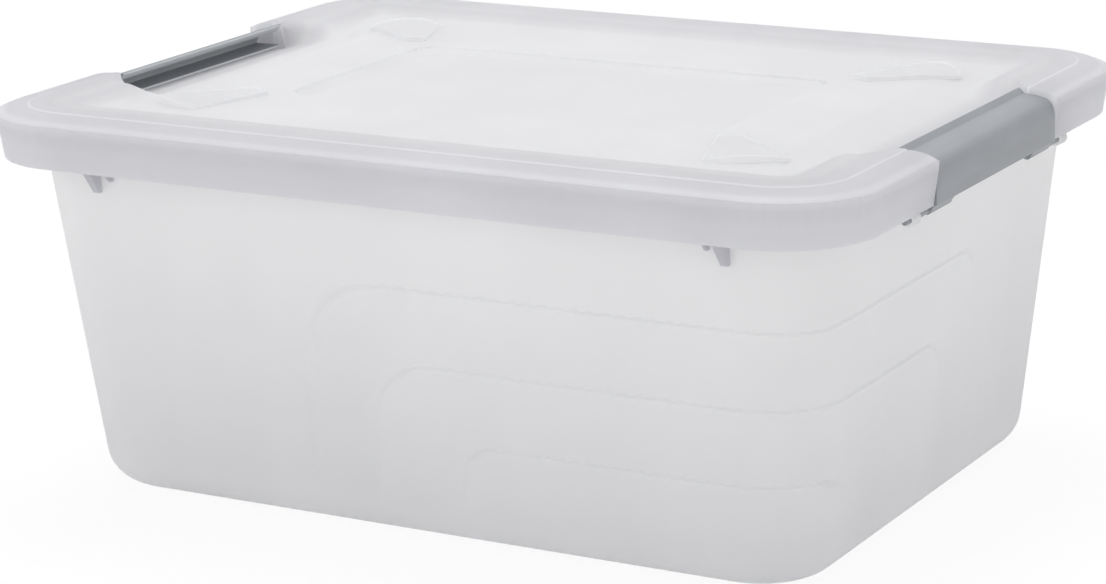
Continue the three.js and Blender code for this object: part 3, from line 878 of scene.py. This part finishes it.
def hinge_clips():
    """The four clips, two at each end: a curved finger under the pin, open at the top, on a block
    that comes down from the flange. The finger's bore is an arc round the hinge axis."""
    flange_out = wall_half(FLANGE_TOP)[0] + FLANGE_REACH
    mouth, bore, wall = SKIRT_FOOT - 0.5, 1.8, 1.1
    gap = math.asin((mouth - HINGE_Z) / bore)
    inner = np.linspace(math.pi - gap, 2 * math.pi + gap, 14)
    outer = np.linspace(2 * math.pi + 0.35, math.pi + 0.5, 12)
    hole = [(HINGE_X + bore * math.cos(a), HINGE_Z + bore * math.sin(a)) for a in inner]
    back = [
        (HINGE_X + (bore + wall) * math.cos(a), HINGE_Z + (bore + wall) * math.sin(a)) for a in outer
    ]
    outline = [(flange_out - 5, FLANGE_TOP - 1.2), (flange_out - 1.2, FLANGE_TOP - 1.2)]
    outline += [(HINGE_X - 1.4, LIP_FOOT)] + [(HINGE_X - 1.9, mouth + 0.4)] + hole
    outline += [(HINGE_X + bore + 0.6, mouth)] + back + [(flange_out - 5, HINGE_Z + 3.5)]
    start = LATCH_HALF + 11.6
    blocks = []
    for side in (1, -1):
        turned = [(side * x, z) for x, z in outline]
        blocks += [(turned, 1, start, start + 7), (turned, 1, -start - 7, -start)]
    solid_prism("hinge_clips", blocks, "body", tub_plastic, 0.2)


gussets()
hinge_clips()


# ---- latches ----------------------------------------------------------------------------------
def rounded_outline(points, radii, steps=4):
    """Replaces each corner of a closed outline by an arc: it starts and ends the given distance
    from the corner and bends through a quadratic curve between."""
    points = np.array(points, float)
    made = []
    for i, (corner, cut) in enumerate(zip(points, radii)):
        before, after = points[i - 1] - corner, points[(i + 1) % len(points)] - corner
        start = corner + before / np.linalg.norm(before) * cut
        end = corner + after / np.linalg.norm(after) * cut
        t = np.linspace(0, 1, steps + 1)[:, None]
        made.append((1 - t) ** 2 * start + 2 * t * (1 - t) * corner + t**2 * end)
    return np.concatenate(made)


def latch_section():
    """Section of a latch in X and Z: outer face, shoulder, top face, up-turned finger lip, and the
    clamping flange inside. Each point has the length that its corner is cut back by."""
    face, inside = LATCH_FACE, LATCH_FACE - 2.2
    points = [
        (face, 22.2, 0.3), (face - 0.15, 13.0, 2.0), (face - 0.7, 7.6, 1.9), (face - 2.8, 4.7, 1.7),
        (face - 8.0, 3.1, 2.0), (face - 14.1, 2.6, 0.3), (face - 16.6, 0.2, 0.35),
        (face - 17.1, 1.3, 0.3), (face - 13.1, 4.7, 1.0), (face - 8.3, 5.3, 1.2),
        (face - 4.7, 6.9, 1.0), (face - 3.3, 9.0, 0.5), (face - 2.6, 10.6, 0.4),
        (face - 15.2, 10.6, 0.35), (face - 15.2, 11.8, 0.35), (inside, 11.8, 0.5), (inside, 22.2, 0.3),
    ]
    outline = [(x, CREST - drop) for x, drop, _ in points]
    return rounded_outline(outline, [length for _, _, length in points])


def drawn_in(outline, depth):
    """Moves every point of a closed outline inwards, against the mean of its edges' normals."""
    before, after = np.roll(outline, 1, 0), np.roll(outline, -1, 0)
    edge = after - before
    normal = np.stack([edge[:, 1], -edge[:, 0]], 1)
    normal /= np.maximum(np.linalg.norm(normal, axis=1, keepdims=True), 1e-9)
    area = np.sum(outline[:, 0] * after[:, 1] - after[:, 0] * outline[:, 1])
    return outline - normal * depth * np.sign(area)


def carried_along(outline, half, edge):
    """An outline in X and Z carried along Y from -half to half, drawn in at both ends over a
    quarter circle of radius edge."""
    angle = np.linspace(0, math.pi / 2, 4)
    ends = [(half - edge * (1 - math.sin(a)), edge * (1 - math.cos(a))) for a in angle]
    inner = np.linspace(0, half - edge, 12)[:-1]
    stations = [(y, 0.0) for y in inner] + ends
    stations = [(-y, d) for y, d in stations[:0:-1]] + stations
    return np.stack([np.insert(drawn_in(outline, depth), 1, y, axis=1) for y, depth in stations])


def turned_bar(radius, y0, y1, edge):
    """A round bar on the hinge axis: circles whose radius follows a quarter circle at both ends."""
    around = np.linspace(0, 2 * math.pi, 24, endpoint=False)
    angle = np.linspace(0, math.pi / 2, 4)
    tip = [(edge * (1 - math.sin(a)), radius - edge * (1 - math.cos(a))) for a in angle[::-1]]
    stations = [(y0 + y, r) for y, r in tip] + [(y1 - y, r) for y, r in tip[::-1]]
    rings = [
        np.stack([HINGE_X + r * np.cos(around), np.full(24, y), HINGE_Z + r * np.sin(around)], 1)
        for y, r in stations
    ]
    return np.stack(rings)


def latch(name, side):
    """One latch: its skin, two arms with barrels, and two bare pins, turned half round for the left."""
    turn = np.array([side, side, 1.0])
    half, start = LATCH_HALF, LATCH_HALF - 21.4
    arm_points = [
        (LATCH_FACE - 1.0, CREST - 20.0), (LATCH_FACE - 1.3, CREST - 22.8),
        (HINGE_X + 0.8, HINGE_Z - 1.9), (HINGE_X - 0.6, HINGE_Z - 0.4),
        (LATCH_FACE - 2.1, CREST - 22.0), (LATCH_FACE - 2.1, CREST - 20.0),
    ]
    arm = rounded_outline(arm_points, [0.3, 0.6, 0.5, 0.5, 0.3, 0.3], 3)
    shells = [carried_along(latch_section(), half, 0.15)]
    for end in (1, -1):
        block = carried_along(arm, (half - start) / 2 - 0.05, 0.15)
        shells.append(block + np.array([0, end * (half + start) / 2, 0]))
        shells.append(turned_bar(2.0, *sorted((end * start, end * half)), 0.3))
        shells.append(turned_bar(1.5, *sorted((end * (half - 3), end * PIN_END)), 0.35))
    grids = [(shell * turn, True) for shell in shells]
    body, node = ("right_latch", "latch_right") if side > 0 else ("left_latch", "latch_left")
    make_piece(name, grids, body, latch_plastic, node, 38.0)


latch("right_latch_moulding", 1)
latch("left_latch_moulding", -1)


# ---- stage, light and camera ------------------------------------------------------------------
def looking_rays(tree):
    """A node that gives 1 for rays from the camera, from gloss and through glass, and 0 for rays
    that carry light to a surface."""
    path = add(tree, "ShaderNodeLightPath").outputs
    seen = add(
        tree,
        "ShaderNodeMath",
        {0: path["Is Camera Ray"], 1: path["Is Glossy Ray"]},
        operation="MAXIMUM",
    )
    return add(
        tree,
        "ShaderNodeMath",
        {0: seen.outputs[0], 1: path["Is Transmission Ray"]},
        operation="MAXIMUM",
    )


def studio_floor():
    """A white paper floor, so bright that it merges with the background, yet it takes shadow: to
    the camera a share of it is plain white and the rest is lit paper."""
    material = bpy.data.materials.new("white_paper")
    material.use_nodes = True
    tree = material.node_tree
    tree.nodes.clear()
    place = add(tree, "ShaderNodeTexCoord").outputs["Object"]
    fibres = add(tree, "ShaderNodeTexNoise", {"Vector": place, "Scale": per_mm(3), "Detail": 2.0})
    tint = add(tree, "ShaderNodeValToRGB", {"Fac": fibres.outputs["Fac"]})
    tint.color_ramp.elements[0].color = colour("F4F4F4")
    tint.color_ramp.elements[1].color = colour("FAFAFA")
    paper = add(tree, "ShaderNodeBsdfDiffuse", {"Color": tint.outputs["Color"]})
    white = add(tree, "ShaderNodeEmission", {"Color": (1, 1, 1, 1), "Strength": 1.0})
    seen = looking_rays(tree)
    share = add(tree, "ShaderNodeMath", {0: seen.outputs[0], 1: 0.9}, operation="MULTIPLY")
    mixed = add(
        tree,
        "ShaderNodeMixShader",
        {0: share.outputs[0], 1: paper.outputs["BSDF"], 2: white.outputs["Emission"]},
    )
    add(tree, "ShaderNodeOutputMaterial", {"Surface": mixed.outputs["Shader"]})
    mesh = bpy.data.meshes.new("studio_floor")
    size = 30.0
    corners = [(-size, -size, 0), (size, -size, 0), (size, size, 0), (-size, size, 0)]
    mesh.from_pydata(corners, [], [(0, 1, 2, 3)])
    mesh.materials.append(material)
    floor = bpy.data.objects.new("studio_floor", mesh)
    bpy.context.scene.collection.objects.link(floor)


def studio_world(strength):
    """Even pale light from all round, which the camera, gloss and glass see as plain white."""
    world = bpy.data.worlds.new("studio")
    bpy.context.scene.world = world
    world.use_nodes = True
    tree = world.node_tree
    tree.nodes.clear()
    seen = looking_rays(tree)
    light = add(tree, "ShaderNodeBackground", {"Color": (1, 1, 1, 1), "Strength": strength})
    white = add(tree, "ShaderNodeBackground", {"Color": (1, 1, 1, 1), "Strength": 1.0})
    mixed = add(
        tree,
        "ShaderNodeMixShader",
        {0: seen.outputs[0], 1: light.outputs[0], 2: white.outputs[0]},
    )
    add(tree, "ShaderNodeOutputWorld", {"Surface": mixed.outputs["Shader"]})


def soft_box(name, place, size, power):
    """A square area lamp that faces the middle of the bin, in metres and watts."""
    lamp = bpy.data.lights.new(name, "AREA")
    lamp.shape = "SQUARE"
    lamp.size = size
    lamp.energy = power
    holder = bpy.data.objects.new(name, lamp)
    holder.location = place
    aim = Vector((0, 0, CREST * MM / 2)) - Vector(place)
    holder.rotation_euler = aim.to_track_quat("-Z", "Y").to_euler()
    bpy.context.scene.collection.objects.link(holder)


def main_camera():
    """A long lens, a little above the rim, looking at the front and the right-hand end."""
    azimuth, elevation, roll = (math.radians(a) for a in (29.46, 15.09, -1.27))
    distance, aside, above = 1532.3, -4.96, -9.43
    back = np.array(
        [
            math.sin(azimuth) * math.cos(elevation),
            -math.cos(azimuth) * math.cos(elevation),
            math.sin(elevation),
        ]
    )
    right = np.cross([0, 0, 1], back)
    right /= np.linalg.norm(right)
    up = np.cross(back, right)
    right, up = (
        math.cos(roll) * right + math.sin(roll) * up,
        math.cos(roll) * up - math.sin(roll) * right,
    )
    target = np.array([0, 0, CREST / 2]) + aside * right + above * up
    camera = bpy.data.cameras.new("main_camera")
    camera.sensor_width = 36.0
    camera.lens = 113.3
    camera.clip_start, camera.clip_end = 0.05, 60.0
    holder = bpy.data.objects.new("main_camera", camera)
    turn = Matrix((right, up, back)).transposed().to_4x4()
    holder.matrix_world = Matrix.Translation(Vector((target + back * distance) * MM)) @ turn
    bpy.context.scene.collection.objects.link(holder)
    bpy.context.scene.camera = holder


studio_floor()
studio_world(0.73)
soft_box("top_light", (-0.3, 0.5, 2.1), 1.2, 22.0)
soft_box("front_light", (-1.2, -2.2, 1.0), 1.2, 10.0)
soft_box("side_light", (2.3, 0.3, 0.6), 1.0, 2.5)
main_camera()
bpy.context.scene.view_settings.view_transform = "Standard"
